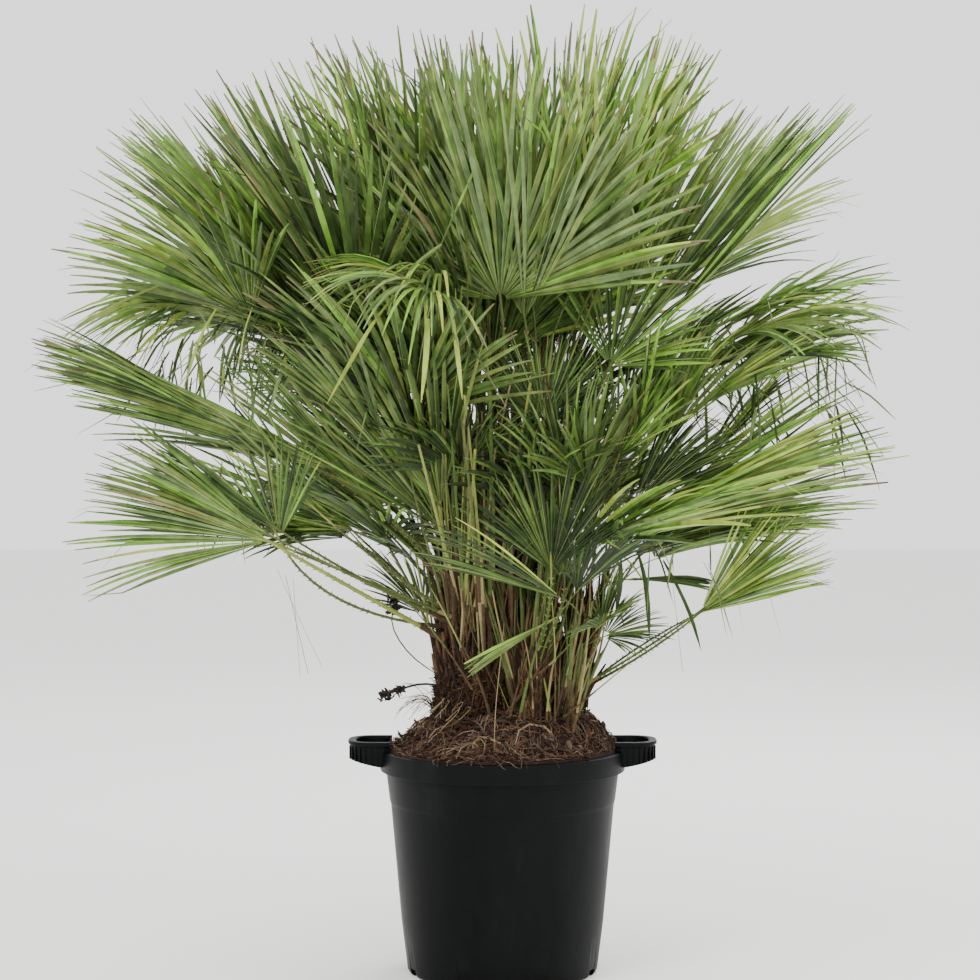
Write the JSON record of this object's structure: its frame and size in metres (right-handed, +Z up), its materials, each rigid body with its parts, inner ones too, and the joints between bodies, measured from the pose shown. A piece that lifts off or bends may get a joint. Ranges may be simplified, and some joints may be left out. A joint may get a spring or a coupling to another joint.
{
  "type": "potted european fan palm",
  "caption": "Clumping fan palm with shaggy stems and stiff pleated fan leaves on slender stalks, in a round black plastic nursery container with side handles.",
  "frame": {"origin": "centre of the container's flat underside", "axes": "+Z up along the container, -Y towards the side that the picture shows, +X to that view's right"},
  "size_m": [1.5487, 1.2342, 1.7839],
  "materials": {
    "pot_plastic": "satin moulded black plastic",
    "soil": "coarse root fibre and bark mulch",
    "stem_wood": "shaggy brown fibre over old leaf bases",
    "leaf": "waxy pleated green leaf"
  },
  "bodies": {
    "root": {"frond_centre_small": "leaf", "frond_crown_1": "leaf", "frond_crown_2": "leaf", "frond_crown_4": "leaf", "frond_crown_5": "leaf", "frond_front_arched": "leaf", "frond_front_centre": "leaf", "frond_front_left": "leaf", "frond_front_low": "leaf", "frond_front_right": "leaf", "frond_inner_1": "leaf", "frond_inner_2": "leaf", "frond_inner_3": "leaf", "frond_left_back": "leaf", "frond_left_flat": "leaf", "frond_left_high": "leaf", "frond_left_inner": "leaf", "frond_left_low": "leaf", "frond_left_low_back": "leaf", "frond_left_wide": "leaf", "frond_rear_1": "leaf", "frond_rear_2": "leaf", "frond_rear_3": "leaf", "frond_rear_4": "leaf", "frond_rear_5": "leaf", "frond_rear_6": "leaf", "frond_right_arched": "leaf", "frond_right_back": "leaf", "frond_right_high": "leaf", "frond_right_inner": "leaf", "frond_right_long": "leaf", "frond_right_low": "leaf", "frond_right_lowest": "leaf", "frond_right_middle": "leaf", "frond_right_sucker": "leaf", "frond_right_upright": "leaf", "frond_right_wide": "leaf", "frond_shoulder_1": "leaf", "frond_shoulder_2": "leaf", "frond_shoulder_3": "leaf", "frond_shoulder_4": "leaf", "frond_side_1": "leaf", "frond_side_2": "leaf", "frond_side_3": "leaf", "frond_side_4": "leaf", "frond_top_left": "leaf", "frond_top_right": "leaf", "handle_left": "pot_plastic", "handle_right": "pot_plastic", "pot": "pot_plastic", "soil": "soil", "stem_front": "stem_wood", "stem_rear": "stem_wood", "stem_right": "stem_wood", "stem_tall": "stem_wood", "trunk": "stem_wood"}
  },
  "joints": []
}
